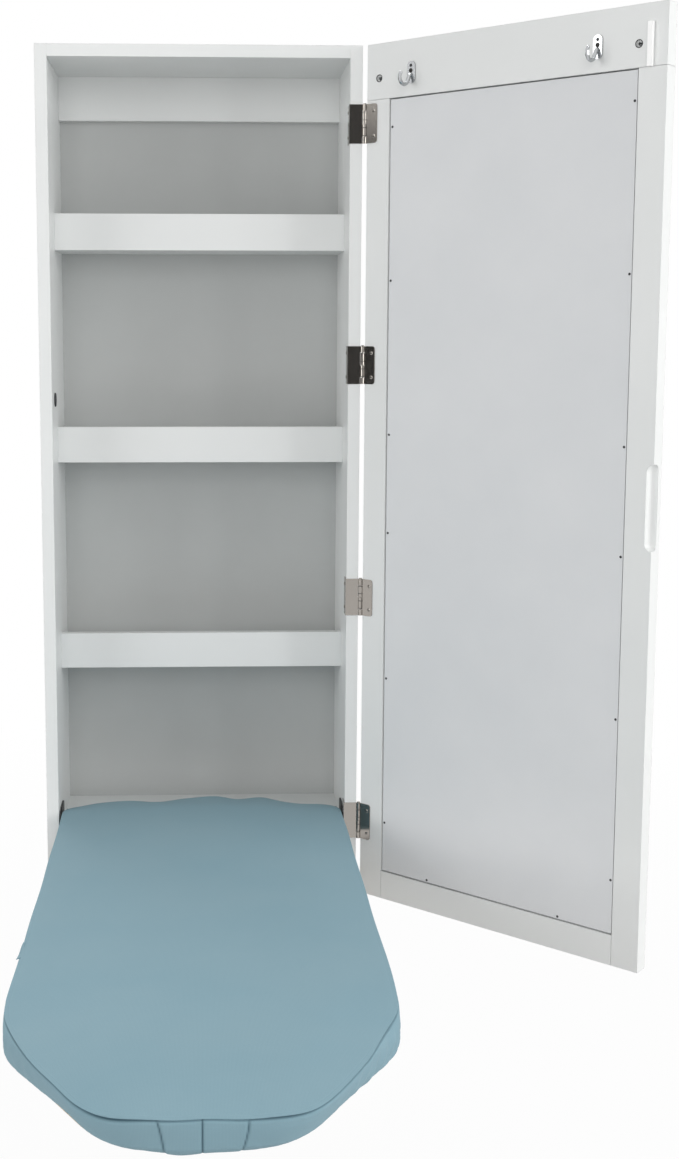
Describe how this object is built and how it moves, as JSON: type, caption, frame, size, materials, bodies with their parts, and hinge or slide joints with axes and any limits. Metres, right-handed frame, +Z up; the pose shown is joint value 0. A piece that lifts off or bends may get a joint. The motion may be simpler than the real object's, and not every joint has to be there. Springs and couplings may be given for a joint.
{
  "type": "mirrored ironing board cabinet",
  "caption": "Wall cabinet with lipped shelves, a hinged mirror door with hooks on its inner face, and a padded ironing board that folds down out of its foot on a swinging support leg",
  "frame": {"origin": "the middle of the cabinet's back, on the wall plane that the back rests against", "axes": "+Z is up, +Y points into the wall, so the cabinet opens and the board folds down towards -Y, and +X is to the viewer's right, on the side of the door hinges"},
  "size_m": [0.7078, 0.9833, 1.072],
  "materials": {
    "lacquered_board": "fibreboard under a satin white lacquer",
    "thin_panel": "thin fibreboard, matt white paint",
    "white_plastic": "smooth bright white",
    "mirror_glass": "silvered flat glass",
    "bright_chrome": "polished chrome plate",
    "nickel_steel": "nickel plate, warm grey and shiny",
    "zinc_steel": "zinc plate, dull",
    "black_steel": "black powder coat",
    "silver_paint": "silver-grey powder coat",
    "core_board": "bare plywood",
    "foam_felt": "cream padding",
    "cotton_cover": "plain woven cotton, dusty blue-grey",
    "black_rubber": "matt black"
  },
  "bodies": {
    "cabinet": {"side_panel_left": "lacquered_board", "side_panel_right": "lacquered_board", "top_panel": "lacquered_board", "bottom_panel": "lacquered_board", "back_panel": "thin_panel", "hanging_rail": "lacquered_board", "shelf_lip_1": "lacquered_board", "shelf_lip_2": "lacquered_board", "shelf_lip_3": "lacquered_board", "shelf_board_1": "lacquered_board", "shelf_board_2": "lacquered_board", "shelf_board_3": "lacquered_board", "low_shelf": "lacquered_board", "leg_stop_cleat": "lacquered_board", "board_buffer": "black_rubber", "hinge_cabinet_leaf_1": "nickel_steel", "hinge_cabinet_leaf_2": "nickel_steel", "hinge_cabinet_leaf_3": "nickel_steel", "hinge_cabinet_leaf_4": "nickel_steel", "hinge_pin_1": "nickel_steel", "hinge_pin_2": "nickel_steel", "hinge_pin_3": "nickel_steel", "hinge_pin_4": "nickel_steel", "pivot_bracket_left": "black_steel", "pivot_bracket_right": "black_steel", "pivot_pin_left": "zinc_steel", "pivot_pin_right": "zinc_steel"},
    "door": {"door_stile_hinge": "lacquered_board", "door_stile_free": "lacquered_board", "door_top_rail": "lacquered_board", "door_bottom_rail": "lacquered_board", "mirror_glass": "mirror_glass", "mirror_backing": "thin_panel", "door_guide_block": "white_plastic", "hook_right": "bright_chrome", "hook_left": "bright_chrome", "frame_screw_right": "zinc_steel", "frame_screw_left": "zinc_steel", "hinge_door_leaf_1": "nickel_steel", "hinge_door_leaf_2": "nickel_steel", "hinge_door_leaf_3": "nickel_steel", "hinge_door_leaf_4": "nickel_steel"},
    "ironing_board": {"board_core": "core_board", "foam_pad": "foam_felt", "board_cover": "cotton_cover", "pivot_arm_left": "black_steel", "pivot_arm_right": "black_steel", "leg_bracket_left": "zinc_steel", "leg_bracket_right": "zinc_steel", "leg_pin_left": "zinc_steel", "leg_pin_right": "zinc_steel"},
    "leg": {"support_leg": "silver_paint", "foot_sleeve": "black_rubber"}
  },
  "joints": [
    {"name": "door_swing", "type": "hinge", "parent": "cabinet", "child": "door", "pos_m": [0.2028, -0.1763, 0], "axis": [0, 0, 1], "range_deg": [-46.4, 43.6]},
    {"name": "board_fold", "type": "hinge", "parent": "cabinet", "child": "ironing_board", "pos_m": [0, -0.135, -0.443], "axis": [-1, 0, 0], "range_deg": [0, 90]},
    {"name": "leg_swing", "type": "hinge", "parent": "ironing_board", "child": "leg", "pos_m": [0, -0.36894, -0.47], "axis": [1, 0, 0], "range_deg": [0, 11.13]}
  ],
  "couplings": [
    {"joint": "leg_swing", "follows": "board_fold", "ratio": 0.1235}
  ]
}
